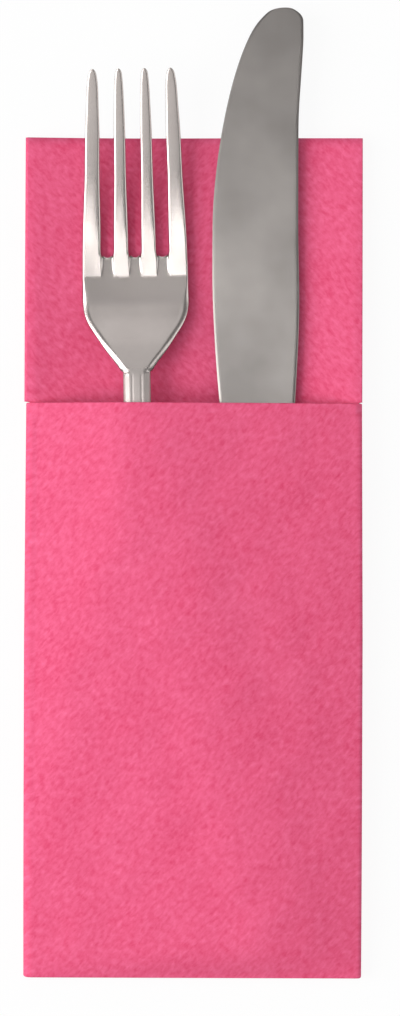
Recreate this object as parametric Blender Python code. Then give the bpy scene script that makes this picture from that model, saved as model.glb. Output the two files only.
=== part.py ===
"""Cutlery pouch napkin: a paper sheet folded to an eighth with a pocket, and the table fork and knife in it.

The packet lies on its back. +X runs across it, +Y from the closed bottom fold to the knife's tip and +Z up.
The origin is on the table, under the middle of the packet's width and of the whole length.
"""

import math

import bpy
import numpy as np

# Folded sheet
PACKET_WIDTH = 0.0820  # over the two side folds
PACKET_LENGTH = 0.2037  # bottom fold to the cut top edges
POCKET_DEPTH = 0.1393  # bottom fold to the pocket's mouth
HEM_DEPTH = 0.0570  # sheet turned down inside the mouth
PAPER_THICKNESS = 0.00028  # one layer
LAYER_GAP = 0.00012  # air between two layers
INNER_EDGE_SETBACK = 0.0012  # cut edge of the innermost quarter, short of the side fold
OUTER_EDGE_SETBACK = 0.0006  # cut edge of the quarter that lies on the table
BACK_SPREAD_WIDTH = 0.0001  # left-hand folds above the mouth, beyond the pocket's width
BACK_SETBACK = 0.0003  # right-hand fold above the mouth, short of the pocket's width
BACK_SPREAD_LENGTH = 0.0010  # the back spreads to that width over this length above the mouth
MOUTH_PULL_WIDTH = 0.00035  # each side of the mouth is drawn in by the cutlery under the front panel
MOUTH_PULL_REACH = 0.0140  # across the panel, from the side folds
BACK_SINK_POWER = 1.5  # above the mouth the back layers sink onto each other, slowly at first

# How the cutlery sits in the pocket
SEAT_GAP = 0.0003  # between a piece and the sheet that it lies on or that covers it
FORK_OFFSET = -0.0110  # handle's end, across the packet
FORK_LEAN = math.radians(1.2)  # the head leans to the left
FORK_INSET_LENGTH = 0.0122  # handle's end above the bottom fold
KNIFE_OFFSET = 0.0159
KNIFE_LEAN = math.radians(0.2)
KNIFE_INSET_LENGTH = 0.0060

# Table fork
FORK_HANDLE_LENGTH = 0.1345  # handle's end to the shoulder under the bowl
FORK_BOWL_LENGTH = 0.0295  # shoulder to the slots' ends
FORK_TINE_LENGTH = 0.0434  # slots' ends to the tips
FORK_END_WIDTH = 0.0200
FORK_NECK_WIDTH = 0.0066
FORK_SHOULDER_DEPTH = 0.00035  # the neck's fluting starts this far inside the bowl's outline
FORK_BOWL_WIDTH = 0.0258
FORK_SLOT_WIDTH = 0.0031  # width of a slot at its end
FORK_RUN_OUT_LENGTH = 0.0047  # a slot dies out into the bowl over this length
FORK_RUN_OUT_DEPTH = 0.0005
FORK_INNER_TINE_WIDTH = 0.0036  # width at the slots' ends
FORK_OUTER_TINE_WIDTH = 0.0045
FORK_TIP_SPACING = 0.00625  # from tip to tip
FORK_TIP_WIDTH = 0.0010
FORK_THICKNESS = 0.0020
FORK_NECK_THICKNESS = 0.0028
FORK_TIP_THICKNESS = 0.0011
FORK_ARCH_HEIGHT = 0.0065  # rise of the handle's middle line over its low end
FORK_TIP_HEIGHT = 0.0075  # rise of the tips over the bowl's lowest point
FORK_DISH_DEPTH = 0.0007  # rise of the bowl's sides over its middle
FORK_GROOVE_DEPTH = 0.00035
FORK_GROOVE_SPACING = 1 / 3  # as a share of half the width: two grooves on each side of a broad middle rib
FORK_END_ROUNDNESS = 2.4  # 2 is a half circle, more is squarer

# Table knife
KNIFE_HANDLE_LENGTH = 0.1100
KNIFE_BLADE_LENGTH = 0.1190
KNIFE_HANDLE_WIDTH = 0.0190
KNIFE_BOLSTER_WIDTH = 0.0125
KNIFE_HANDLE_THICKNESS = 0.0050
KNIFE_BOLSTER_THICKNESS = 0.0044
KNIFE_SPINE_THICKNESS = 0.0020  # blade's back, at the handle
KNIFE_TIP_THICKNESS = 0.0011
KNIFE_EDGE_THICKNESS = 0.0003  # cutting edge
KNIFE_EDGE_SIDE_WIDTH = 0.0110  # blade's middle line to the cutting edge, at the widest
KNIFE_BACK_SIDE_WIDTH = 0.0100  # blade's middle line to the back
KNIFE_GROUND_SHARE = 0.68  # share of the blade's width that is ground towards the edge
KNIFE_SECTION_ROUNDNESS = 2.6  # handle's section: 2 is an ellipse, more is squarer
KNIFE_RIM_SHARE = 0.17  # share of the handle's thickness that is left at its sides
KNIFE_END_ROUNDNESS = 2.4

# Fineness of the surfaces
FRONT_ROWS_LOW = 14  # rows of the front panel below the hem
FRONT_ROWS_HEM = 6
FRONT_COLUMNS = 24
BACK_ROWS = 6  # rows of the back above the mouth
SIDE_FOLD_STEPS = 10
INNER_FOLD_STEPS = 6
FLAT_FOLD_STEPS = 6
MOUTH_FOLD_STEPS = 4
FORK_SLOT_STEPS = 4
DRAPE_PASSES = 1500

PITCH = PAPER_THICKNESS + LAYER_GAP
# Heights of the four back layers, lowest first: in the pocket, and at the top edge
LAID_HEIGHTS = tuple(PAPER_THICKNESS / 2 + layer * PITCH for layer in (2, 3, 8, 9))
SETTLED_HEIGHTS = tuple(PAPER_THICKNESS / 2 + layer * PITCH for layer in (0, 1, 2, 3))
STACK = PAPER_THICKNESS + 9 * PITCH  # height of the pocket's floor, which is the topmost back layer
FORK_LENGTH = FORK_HANDLE_LENGTH + FORK_BOWL_LENGTH + FORK_TINE_LENGTH
FORK_CREASE = FORK_HANDLE_LENGTH + FORK_BOWL_LENGTH - FORK_SLOT_WIDTH / 2 - FORK_RUN_OUT_LENGTH
FORK_TINE_WIDTHS = (
    FORK_OUTER_TINE_WIDTH,
    FORK_INNER_TINE_WIDTH,
    FORK_INNER_TINE_WIDTH,
    FORK_OUTER_TINE_WIDTH,
)
FORK_ROOT_WIDTH = sum(FORK_TINE_WIDTHS) + 3 * FORK_SLOT_WIDTH  # over the outer tines at the slots' ends
KNIFE_LENGTH = KNIFE_HANDLE_LENGTH + KNIFE_BLADE_LENGTH
OVERALL_LENGTH = max(KNIFE_INSET_LENGTH + KNIFE_LENGTH, FORK_INSET_LENGTH + FORK_LENGTH, PACKET_LENGTH)
BOTTOM = -OVERALL_LENGTH / 2  # the bottom fold's place along Y
MOUTH = BOTTOM + POCKET_DEPTH
TOP = BOTTOM + PACKET_LENGTH

PINK = (0.79, 0.115, 0.25, 1.0)
STEEL = (0.52, 0.49, 0.46, 1.0)


def smooth_through(points, at):
    """Value at each place in `at` of the smooth curve through the (place, value) points. The slopes are held
    back so that the curve never swings beyond the two points around it."""
    place, value = np.array(points, float).T
    rate = np.diff(value) / np.diff(place)
    before, after = np.append(rate[0], rate), np.append(rate, rate[-1])
    limit = np.where(before * after > 0, 3 * np.minimum(np.abs(before), np.abs(after)), 0)
    slope = np.clip(np.gradient(value, place), -limit, limit)
    at = np.clip(at, place[0], place[-1])
    k = np.clip(np.searchsorted(place, at) - 1, 0, len(place) - 2)
    span = place[k + 1] - place[k]
    t = (at - place[k]) / span
    rest = 1 - t
    return (
        value[k] * rest * rest * (1 + 2 * t)
        + slope[k] * span * t * rest * rest
        + value[k + 1] * t * t * (3 - 2 * t)
        - slope[k + 1] * span * t * t * rest
    )


def rounded_end(s, reach, roundness):
    """Share of the full width at the distances s from a handle's end, rounded over the length reach."""
    return np.sqrt(1 - (1 - s / reach).clip(0, 0.985) ** roundness)


def grid_faces(rows, columns, first=0):
    """Four-sided faces of a grid of points that is stored row by row."""
    corner = first + (np.arange(rows - 1)[:, None] * columns + np.arange(columns - 1)).ravel()
    return np.stack([corner, corner + 1, corner + columns + 1, corner + columns], axis=1).tolist()


def thicken(name, middle, half, faces, material):
    """Closed solid whose two skins lie at middle + half and middle - half, walled along the open borders."""
    count = len(middle)
    points = np.vstack([middle + half, middle - half])
    edges = {}
    for face in faces:
        for a, b in zip(face, face[1:] + face[:1]):
            edges[(a, b)] = edges.get((a, b), 0) + 1
    walls = [[b, a, a + count, b + count] for a, b in edges if (b, a) not in edges]
    under = [[i + count for i in reversed(face)] for face in faces]
    mesh = bpy.data.meshes.new(name)
    mesh.from_pydata(points.tolist(), [], faces + under + walls)
    mesh.materials.append(material)
    mesh.shade_smooth()
    mesh.set_sharp_from_angle(angle=math.radians(35))
    piece = bpy.data.objects.new(name, mesh)
    bpy.context.scene.collection.objects.link(piece)
    return piece


def finish(name, colour, metallic, roughness):
    """Plain material with the piece's colour, metallic value and roughness."""
    material = bpy.data.materials.new(name)
    material.use_nodes = True
    shader = material.node_tree.nodes["Principled BSDF"]
    shader.inputs["Base Color"].default_value = colour
    shader.inputs["Metallic"].default_value = metallic
    shader.inputs["Roughness"].default_value = roughness
    return material


# Fork, in its own frame: +Y from the handle's end to the tips, z = 0 under its lowest points


def fork_half_width(s):
    """Half the width of the handle and the bowl at the distances s from the handle's end."""
    neck = FORK_NECK_WIDTH / 2
    end = FORK_END_WIDTH / 2
    bowl = FORK_BOWL_WIDTH / 2
    handle = smooth_through(
        [
            (0.0, end * 0.90),
            (0.11 * FORK_HANDLE_LENGTH, end),
            (0.45 * FORK_HANDLE_LENGTH, end * 0.70),
            (0.80 * FORK_HANDLE_LENGTH, neck * 1.08),
            (FORK_HANDLE_LENGTH, neck),
        ],
        s,
    )
    handle = handle * rounded_end(s, end, FORK_END_ROUNDNESS)
    head = smooth_through(
        [
            (FORK_HANDLE_LENGTH, neck + FORK_SHOULDER_DEPTH),
            (FORK_HANDLE_LENGTH + 0.048 * FORK_BOWL_LENGTH, neck + 0.13 * (bowl - neck)),
            (FORK_HANDLE_LENGTH + 0.171 * FORK_BOWL_LENGTH, neck + 0.41 * (bowl - neck)),
            (FORK_HANDLE_LENGTH + 0.305 * FORK_BOWL_LENGTH, neck + 0.68 * (bowl - neck)),
            (FORK_HANDLE_LENGTH + 0.40 * FORK_BOWL_LENGTH, neck + 0.86 * (bowl - neck)),
            (FORK_HANDLE_LENGTH + 0.505 * FORK_BOWL_LENGTH, neck + 0.97 * (bowl - neck)),
            (FORK_HANDLE_LENGTH + 0.667 * FORK_BOWL_LENGTH, bowl),
            (FORK_HANDLE_LENGTH + FORK_BOWL_LENGTH, FORK_ROOT_WIDTH / 2),
        ],
        s,
    )
    return np.where(s < FORK_HANDLE_LENGTH, handle, head)


def fork_middle(s):
    """Height of the fork's middle surface: an arch to the neck and down into the bowl, then from the crease
    before the slots up to the tips."""
    low = FORK_THICKNESS / 2
    down = smooth_through(
        [
            (0.0, low + 0.05 * FORK_ARCH_HEIGHT),
            (0.20 * FORK_HANDLE_LENGTH, low + 0.14 * FORK_ARCH_HEIGHT),
            (0.55 * FORK_HANDLE_LENGTH, low + 0.58 * FORK_ARCH_HEIGHT),
            (0.88 * FORK_HANDLE_LENGTH, low + FORK_ARCH_HEIGHT),
            (FORK_HANDLE_LENGTH + 0.20 * FORK_BOWL_LENGTH, low + 0.66 * FORK_ARCH_HEIGHT),
            (FORK_HANDLE_LENGTH + 0.52 * FORK_BOWL_LENGTH, low + 0.12 * FORK_ARCH_HEIGHT),
            (FORK_CREASE, low),
        ],
        s,
    )
    rise = FORK_LENGTH - FORK_CREASE
    up = smooth_through(
        [
            (FORK_CREASE, low),
            (FORK_CREASE + 0.20 * rise, low + 0.10 * FORK_TIP_HEIGHT),
            (FORK_CREASE + 0.52 * rise, low + 0.31 * FORK_TIP_HEIGHT),
            (FORK_LENGTH, low + FORK_TIP_HEIGHT),
        ],
        s,
    )
    return np.where(s < FORK_CREASE, down, up)


def fork_thickness(s):
    """Thickness along the fork's middle line."""
    return smooth_through(
        [
            (0.0, FORK_THICKNESS * 0.9),
            (0.45 * FORK_HANDLE_LENGTH, FORK_THICKNESS * 1.15),
            (0.92 * FORK_HANDLE_LENGTH, FORK_NECK_THICKNESS),
            (FORK_HANDLE_LENGTH + 0.35 * FORK_BOWL_LENGTH, FORK_THICKNESS),
            (FORK_HANDLE_LENGTH + FORK_BOWL_LENGTH, FORK_THICKNESS * 0.95),
            (FORK_LENGTH, FORK_TIP_THICKNESS),
        ],
        s,
    )


def fork_dish(s, across):
    """Rise of the sides over the middle: none on the handle, full at the bowl, fading to the tips."""
    depth = smooth_through(
        [
            (0.0, 0.0),
            (FORK_HANDLE_LENGTH, 0.0),
            (FORK_HANDLE_LENGTH + 0.5 * FORK_BOWL_LENGTH, FORK_DISH_DEPTH),
            (FORK_HANDLE_LENGTH + FORK_BOWL_LENGTH, 0.6 * FORK_DISH_DEPTH),
            (FORK_LENGTH, 0.0),
        ],
        s,
    )
    return depth * (across / (FORK_BOWL_WIDTH / 2)) ** 2


def fork_grooves(s, share):
    """Loss of thickness in the grooves along the handle and the neck. They end at the bowl's shoulder and die
    out towards the handle's end."""
    fade = smooth_through(
        [
            (0.0, 0.0),
            (0.12 * FORK_HANDLE_LENGTH, 0.0),
            (0.30 * FORK_HANDLE_LENGTH, 1.0),
            (FORK_HANDLE_LENGTH, 1.0),
        ],
        s,
    )
    fade = np.where(s > FORK_HANDLE_LENGTH, 0.0, fade)
    fade = np.where(np.abs(share) < FORK_GROOVE_SPACING / 2, 0.0, fade)
    fade = np.where(np.abs(share) > 2.5 * FORK_GROOVE_SPACING, 0.0, fade)
    return FORK_GROOVE_DEPTH * fade * (0.5 + 0.5 * np.cos(2 * math.pi * share / FORK_GROOVE_SPACING))


def tine_half_width(root_width, t):
    """Half a tine's width at the share t of the way from the slots' ends to the tips."""
    root = root_width / 2
    return smooth_through(
        [
            (0.0, root),
            (0.13, root * 0.98),
            (0.39, root * 0.84),
            (0.68, root * 0.76),
            (0.85, root * 0.60),
            (0.94, root * 0.48),
            (1.0, FORK_TIP_WIDTH / 2),
        ],
        t,
    )


def fork_root_line():
    """Points across the fork at the slots' ends: three for each tine and, between two tines, the inner points
    of the slot's round end. Returns their places, how far each lies before the root line, and which are a
    slot's."""
    turn = np.linspace(math.pi, 0, FORK_SLOT_STEPS + 1)[1:-1]
    across, drop, in_slot = [], [], []
    left = -FORK_ROOT_WIDTH / 2
    for number, width in enumerate(FORK_TINE_WIDTHS):
        if number:
            across += (left + FORK_SLOT_WIDTH / 2 + FORK_SLOT_WIDTH / 2 * np.cos(turn)).tolist()
            drop += (FORK_SLOT_WIDTH / 2 * np.sin(turn)).tolist()
            in_slot += [1.0] * len(turn)
            left += FORK_SLOT_WIDTH
        across += [left, left + width / 2, left + width]
        drop += [0.0, 0.0, 0.0]
        in_slot += [0.0, 0.0, 0.0]
        left += width
    return np.array(across), np.array(drop), np.array(in_slot)


def back_sink(y):
    """Share of the way, at each y above the mouth, from the back layers' heights in the pocket to those at
    the top edge, where they lie on each other."""
    return np.clip((y - MOUTH) / (TOP - MOUTH), 0, 1) ** BACK_SINK_POWER


def fork_tilt():
    """Angle by which the fork's head sinks with the back layer on which its bowl rests."""
    drop = (LAID_HEIGHTS[-1] - SETTLED_HEIGHTS[-1]) * back_sink(BOTTOM + FORK_INSET_LENGTH + FORK_CREASE)
    return math.asin(drop / FORK_CREASE)


def build_fork(steel):
    """One forged piece: a grid for the handle and the bowl, from whose last row the four tines go on."""
    root = FORK_HANDLE_LENGTH + FORK_BOWL_LENGTH
    across, drop, in_slot = fork_root_line()
    share = across / across[-1]
    lines = len(share)
    end_rows = FORK_END_WIDTH / 2 * (1 - np.cos(np.linspace(0.16, math.pi / 2, 6)))
    handle_rows = np.linspace(FORK_END_WIDTH / 2, FORK_HANDLE_LENGTH, 13)[1:]
    bowl_rows = np.linspace(FORK_HANDLE_LENGTH + FORK_SHOULDER_DEPTH, FORK_CREASE, 9)
    root_rows = np.linspace(FORK_CREASE, root, 4)[1:]
    s_rows = np.concatenate([end_rows, handle_rows, bowl_rows, root_rows])
    s = np.repeat(s_rows[:, None], lines, axis=1)
    toward_root = np.clip((s_rows - FORK_CREASE) / (root - FORK_CREASE), 0, 1)[:, None]
    s -= drop * toward_root**2
    x = share * fork_half_width(s)
    x[-1] = across
    rim = 1 - 0.55 * np.abs(share) ** 8
    run_out = FORK_RUN_OUT_DEPTH * in_slot * toward_root
    half = fork_thickness(s) / 2 * rim - fork_grooves(s, share) / 2 - run_out / 2
    middle = fork_middle(s) + fork_dish(s, x) - run_out / 2
    points = np.stack([x, s, middle], axis=2).reshape(-1, 3)
    halves = half.ravel()
    faces = grid_faces(len(s_rows), lines)

    side = np.array([-1.0, 0.0, 1.0])
    steps = np.array([0.12, 0.26, 0.42, 0.58, 0.74, 0.86, 0.94, 0.98, 1.0])
    for number, width in enumerate(FORK_TINE_WIDTHS):
        start = number * (3 + FORK_SLOT_STEPS - 1)
        root_x = across[start + 1]
        tip_x = (number - (len(FORK_TINE_WIDTHS) - 1) / 2) * FORK_TIP_SPACING
        x = (root_x + (tip_x - root_x) * steps)[:, None] + side * tine_half_width(width, steps)[:, None]
        s = np.repeat(root + FORK_TINE_LENGTH * steps[:, None], 3, axis=1)
        s[-1] -= np.abs(side) * FORK_TIP_WIDTH / 2
        z = fork_middle(s) + fork_dish(s, x)
        half = fork_thickness(s) / 2 * (1 - 0.45 * np.abs(side))
        first = len(points)
        points = np.vstack([points, np.stack([x, s, z], axis=2).reshape(-1, 3)])
        halves = np.concatenate([halves, half.ravel()])
        start += (len(s_rows) - 1) * lines
        faces += [
            [start, start + 1, first + 1, first],
            [start + 1, start + 2, first + 2, first + 1],
        ]
        faces += grid_faces(len(steps), 3, first)
    lift = np.zeros((len(points), 3))
    lift[:, 2] = halves
    piece = thicken("fork", points, lift, faces, steel)
    piece.location = (FORK_OFFSET, BOTTOM + FORK_INSET_LENGTH, STACK + SEAT_GAP)
    piece.rotation_euler = (-fork_tilt(), 0.0, FORK_LEAN)
    return piece


# Knife, in its own frame: +Y from the handle's end to the tip, the cutting edge at -X, z = 0 under the handle


def knife_sides(s):
    """Places of the cutting edge's side and of the back's side at the distances s from the handle's end."""
    handle, bolster = KNIFE_HANDLE_WIDTH / 2, KNIFE_BOLSTER_WIDTH / 2
    grip = smooth_through(
        [
            (0.0, handle * 0.92),
            (0.10 * KNIFE_HANDLE_LENGTH, handle),
            (0.55 * KNIFE_HANDLE_LENGTH, handle * 0.83),
            (KNIFE_HANDLE_LENGTH, bolster),
        ],
        s,
    )
    grip = grip * rounded_end(s, handle, KNIFE_END_ROUNDNESS)
    b = (s - KNIFE_HANDLE_LENGTH) / KNIFE_BLADE_LENGTH
    edge = smooth_through(
        [
            (0.0, bolster),
            (0.10, bolster + 0.36 * (KNIFE_EDGE_SIDE_WIDTH - bolster)),
            (0.22, bolster + 0.69 * (KNIFE_EDGE_SIDE_WIDTH - bolster)),
            (0.33, bolster + 0.89 * (KNIFE_EDGE_SIDE_WIDTH - bolster)),
            (0.46, KNIFE_EDGE_SIDE_WIDTH),
            (0.56, KNIFE_EDGE_SIDE_WIDTH * 0.995),
            (0.69, KNIFE_EDGE_SIDE_WIDTH * 0.885),
            (0.79, KNIFE_EDGE_SIDE_WIDTH * 0.70),
            (0.87, KNIFE_EDGE_SIDE_WIDTH * 0.48),
            (0.93, KNIFE_EDGE_SIDE_WIDTH * 0.22),
            (0.97, KNIFE_EDGE_SIDE_WIDTH * -0.05),
            (0.99, KNIFE_EDGE_SIDE_WIDTH * -0.29),
            (1.0, KNIFE_EDGE_SIDE_WIDTH * -0.56),
        ],
        b,
    )
    back = smooth_through(
        [
            (0.0, bolster),
            (0.10, bolster + 0.48 * (KNIFE_BACK_SIDE_WIDTH - bolster)),
            (0.22, bolster + 0.78 * (KNIFE_BACK_SIDE_WIDTH - bolster)),
            (0.40, KNIFE_BACK_SIDE_WIDTH),
            (0.56, KNIFE_BACK_SIDE_WIDTH * 0.975),
            (0.70, KNIFE_BACK_SIDE_WIDTH * 0.965),
            (0.82, KNIFE_BACK_SIDE_WIDTH * 1.025),
            (0.93, KNIFE_BACK_SIDE_WIDTH * 1.10),
            (0.97, KNIFE_BACK_SIDE_WIDTH * 1.105),
            (0.99, KNIFE_BACK_SIDE_WIDTH * 0.97),
            (1.0, KNIFE_BACK_SIDE_WIDTH * 0.70),
        ],
        b,
    )
    on_grip = s < KNIFE_HANDLE_LENGTH
    return -np.where(on_grip, grip, edge), np.where(on_grip, grip, back)


def knife_thickness(s):
    """Thickness along the handle's middle, then along the blade's back."""
    return smooth_through(
        [
            (0.0, KNIFE_HANDLE_THICKNESS * 0.60),
            (0.12 * KNIFE_HANDLE_LENGTH, KNIFE_HANDLE_THICKNESS * 0.88),
            (0.40 * KNIFE_HANDLE_LENGTH, KNIFE_HANDLE_THICKNESS),
            (0.90 * KNIFE_HANDLE_LENGTH, KNIFE_BOLSTER_THICKNESS),
            (KNIFE_HANDLE_LENGTH, KNIFE_BOLSTER_THICKNESS * 0.86),
            (KNIFE_HANDLE_LENGTH + 0.10 * KNIFE_BLADE_LENGTH, KNIFE_SPINE_THICKNESS),
            (KNIFE_LENGTH, KNIFE_TIP_THICKNESS),
        ],
        s,
    )


def knife_section(share, s):
    """Share of the thickness at the share of the width from the edge side to the back: rounded along the
    handle, ground towards the cutting edge along the blade."""
    rounded = np.sqrt(np.clip(1 - np.abs(share / 0.5 - 1) ** KNIFE_SECTION_ROUNDNESS, KNIFE_RIM_SHARE**2, 1))
    at_edge = KNIFE_EDGE_THICKNESS / KNIFE_SPINE_THICKNESS
    ground = np.minimum(1, at_edge + (1 - at_edge) * share / KNIFE_GROUND_SHARE)
    blend = np.clip((s - KNIFE_HANDLE_LENGTH) / (0.10 * KNIFE_BLADE_LENGTH), 0, 1)
    return rounded * (1 - blend) + ground * blend


def build_knife(steel):
    """One forged piece: a rounded handle that flattens at the bolster into a blade ground to an edge."""
    share = 0.5 - 0.5 * np.cos(np.linspace(0, math.pi, 10))
    end_rows = KNIFE_HANDLE_WIDTH / 2 * (1 - np.cos(np.linspace(0.16, math.pi / 2, 6)))
    grip_rows = np.linspace(KNIFE_HANDLE_WIDTH / 2, KNIFE_HANDLE_LENGTH, 9)[1:]
    blade_rows = KNIFE_HANDLE_LENGTH + KNIFE_BLADE_LENGTH * (1 - (1 - np.linspace(0, 1, 29)[1:]) ** 1.6)
    s_rows = np.concatenate([end_rows, grip_rows, blade_rows])
    s = np.repeat(s_rows[:, None], len(share), axis=1)
    left, right = knife_sides(s_rows)
    x = left[:, None] + (right - left)[:, None] * share
    section = knife_section(share, s)
    points = np.stack([x, s, np.full_like(s, KNIFE_HANDLE_THICKNESS / 2)], axis=2).reshape(-1, 3)
    lift = np.zeros((len(points), 3))
    lift[:, 2] = (knife_thickness(s) / 2 * section).ravel()
    piece = thicken("knife", points, lift, grid_faces(len(s_rows), len(share)), steel)
    piece.location = (KNIFE_OFFSET, BOTTOM + KNIFE_INSET_LENGTH, STACK + SEAT_GAP)
    piece.rotation_euler.z = KNIFE_LEAN
    return piece


# Napkin


def in_piece_frame(x, y, piece_x, inset, lean):
    """Places across and along a piece of cutlery for the places (x, y) on the packet."""
    dx, dy = x - piece_x, y - BOTTOM - inset
    return dx * math.cos(lean) + dy * math.sin(lean), dy * math.cos(lean) - dx * math.sin(lean)


def cutlery_height(x, y):
    """Height above the pocket's floor that the front panel has to clear at (x, y); 0 beside the cutlery."""
    across, s = in_piece_frame(x, y, FORK_OFFSET, FORK_INSET_LENGTH, FORK_LEAN)
    on_fork = (s >= 0) & (s <= FORK_HANDLE_LENGTH + FORK_BOWL_LENGTH) & (np.abs(across) <= fork_half_width(s))
    fork = fork_middle(s) + fork_dish(s, across) + fork_thickness(s) / 2 - s * math.sin(fork_tilt())
    across, s = in_piece_frame(x, y, KNIFE_OFFSET, KNIFE_INSET_LENGTH, KNIFE_LEAN)
    left, right = knife_sides(s)
    on_knife = (s >= 0) & (s <= KNIFE_LENGTH) & (across >= left) & (across <= right)
    share = np.clip((across - left) / np.maximum(right - left, KNIFE_EDGE_THICKNESS), 0, 1)
    knife = KNIFE_HANDLE_THICKNESS / 2 + knife_thickness(s) / 2 * knife_section(share, s)
    top = np.maximum(np.where(on_fork, fork, 0.0), np.where(on_knife, knife, 0.0))
    return np.where(top > 0, top + 2 * SEAT_GAP - LAYER_GAP, 0.0)


def drape(columns, rows):
    """Rise of the front panel at each row and column: a taut sheet, held at the side and bottom folds and
    free at the mouth, that is drawn over the handles."""
    step_x, step_y = columns[1] - columns[0], np.gradient(rows)
    below = np.zeros((len(rows), len(columns)))
    for dx in (-1.0, -0.5, 0.0, 0.5, 1.0):
        for dy in (-1.0, -0.5, 0.0, 0.5, 1.0):
            x, y = np.meshgrid(columns + dx * step_x, rows + dy * step_y)
            below = np.maximum(below, cutlery_height(x, y))
    below[0] = 0
    below[:, [0, -1]] = 0
    before, after = np.diff(rows)[:-1, None], np.diff(rows)[1:, None]
    pull_before = 2 / (before * (before + after))
    pull_after = 2 / (after * (before + after))
    pull_side = 1 / step_x**2
    rise = below.copy()
    for _ in range(DRAPE_PASSES):
        sides = pull_side * (rise[1:-1, :-2] + rise[1:-1, 2:])
        ends = pull_before * rise[:-2, 1:-1] + pull_after * rise[2:, 1:-1]
        rise[1:-1, 1:-1] = (sides + ends) / (2 * pull_side + pull_before + pull_after)
        rise[-1] = rise[-2]
        rise = np.maximum(rise, below)
    return rise


def length_profile(back_rows, front_rows, hem_rows):
    """Middle line of the sheet along its length, from the cut top edge round the bottom fold and the mouth to
    the hem's cut edge, as places (y, depth towards the front) and outward directions."""
    turn = np.linspace(0, math.pi, FLAT_FOLD_STEPS + 1)
    bottom = np.stack([front_rows[0] - PITCH * np.sin(turn), PITCH - PITCH * np.cos(turn)], axis=1)
    bottom_out = np.stack([-np.sin(turn), -np.cos(turn)], axis=1)
    turn = np.linspace(0, math.pi, MOUTH_FOLD_STEPS + 1)
    mouth_y = front_rows[-1] + PITCH / 2 * np.sin(turn)
    mouth = np.stack([mouth_y, 1.5 * PITCH + PITCH / 2 * np.cos(turn)], axis=1)
    mouth_out = np.stack([np.sin(turn), np.cos(turn)], axis=1)

    def flat(rows, depth, direction):
        return (
            np.stack([rows, np.full(len(rows), depth)], axis=1),
            np.repeat([[0.0, direction]], len(rows), axis=0),
        )

    back, back_out = flat(back_rows, 0.0, -1.0)
    front, front_out = flat(front_rows[1:-1], 2 * PITCH, 1.0)
    hem, hem_out = flat(hem_rows, PITCH, -1.0)
    places = np.vstack([back, bottom, front, mouth, hem])
    outward = np.vstack([back_out, bottom_out, front_out, mouth_out, hem_out])
    return places, outward


def width_path(columns, heights):
    """Middle line of the back layer across the packet, through its four quarters at the heights given, as
    places (x, z) and the directions in which the sheet's front side faces. Returns also where the front
    quarter begins."""
    left, right = columns[0], columns[-1]
    fourth_z, third_z, second_z, front_z = heights

    def flat(xs, z, facing):
        return np.stack([xs, np.full(len(xs), z)], axis=1), np.repeat([[0.0, facing]], len(xs), axis=0)

    def fold(x, z, radius, start, steps, facing):
        turn = np.linspace(start, start - math.pi, steps + 1)[1:-1]
        out = np.stack([np.cos(turn), np.sin(turn)], axis=1)
        return np.array([x, z]) + radius * out, facing * out

    outer_edge = PACKET_WIDTH / 2 - OUTER_EDGE_SETBACK
    inner_edge = PACKET_WIDTH / 2 - INNER_EDGE_SETBACK
    fourth = flat(np.array([outer_edge, left]), fourth_z, -1.0)
    outer_fold = fold(
        left, (front_z + fourth_z) / 2, (front_z - fourth_z) / 2, -math.pi / 2, SIDE_FOLD_STEPS, 1.0
    )
    front = flat(columns, front_z, 1.0)
    right_fold = fold(
        right, (front_z + second_z) / 2, (front_z - second_z) / 2, math.pi / 2, INNER_FOLD_STEPS, 1.0
    )
    second = flat(np.array([right, left]), second_z, -1.0)
    turn = np.linspace(math.pi / 2, 3 * math.pi / 2, INNER_FOLD_STEPS + 1)[1:-1]
    out = np.stack([np.cos(turn), np.sin(turn)], axis=1)
    inner_fold = (np.array([left, (second_z + third_z) / 2]) + (second_z - third_z) / 2 * out, -out)
    third = flat(np.array([left, inner_edge]), third_z, 1.0)
    runs = [fourth, outer_fold, front, right_fold, second, inner_fold, third]
    places = np.vstack([run[0] for run in runs])
    facings = np.vstack([run[1] for run in runs])
    return places, facings, len(fourth[0]) + len(outer_fold[0])


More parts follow.
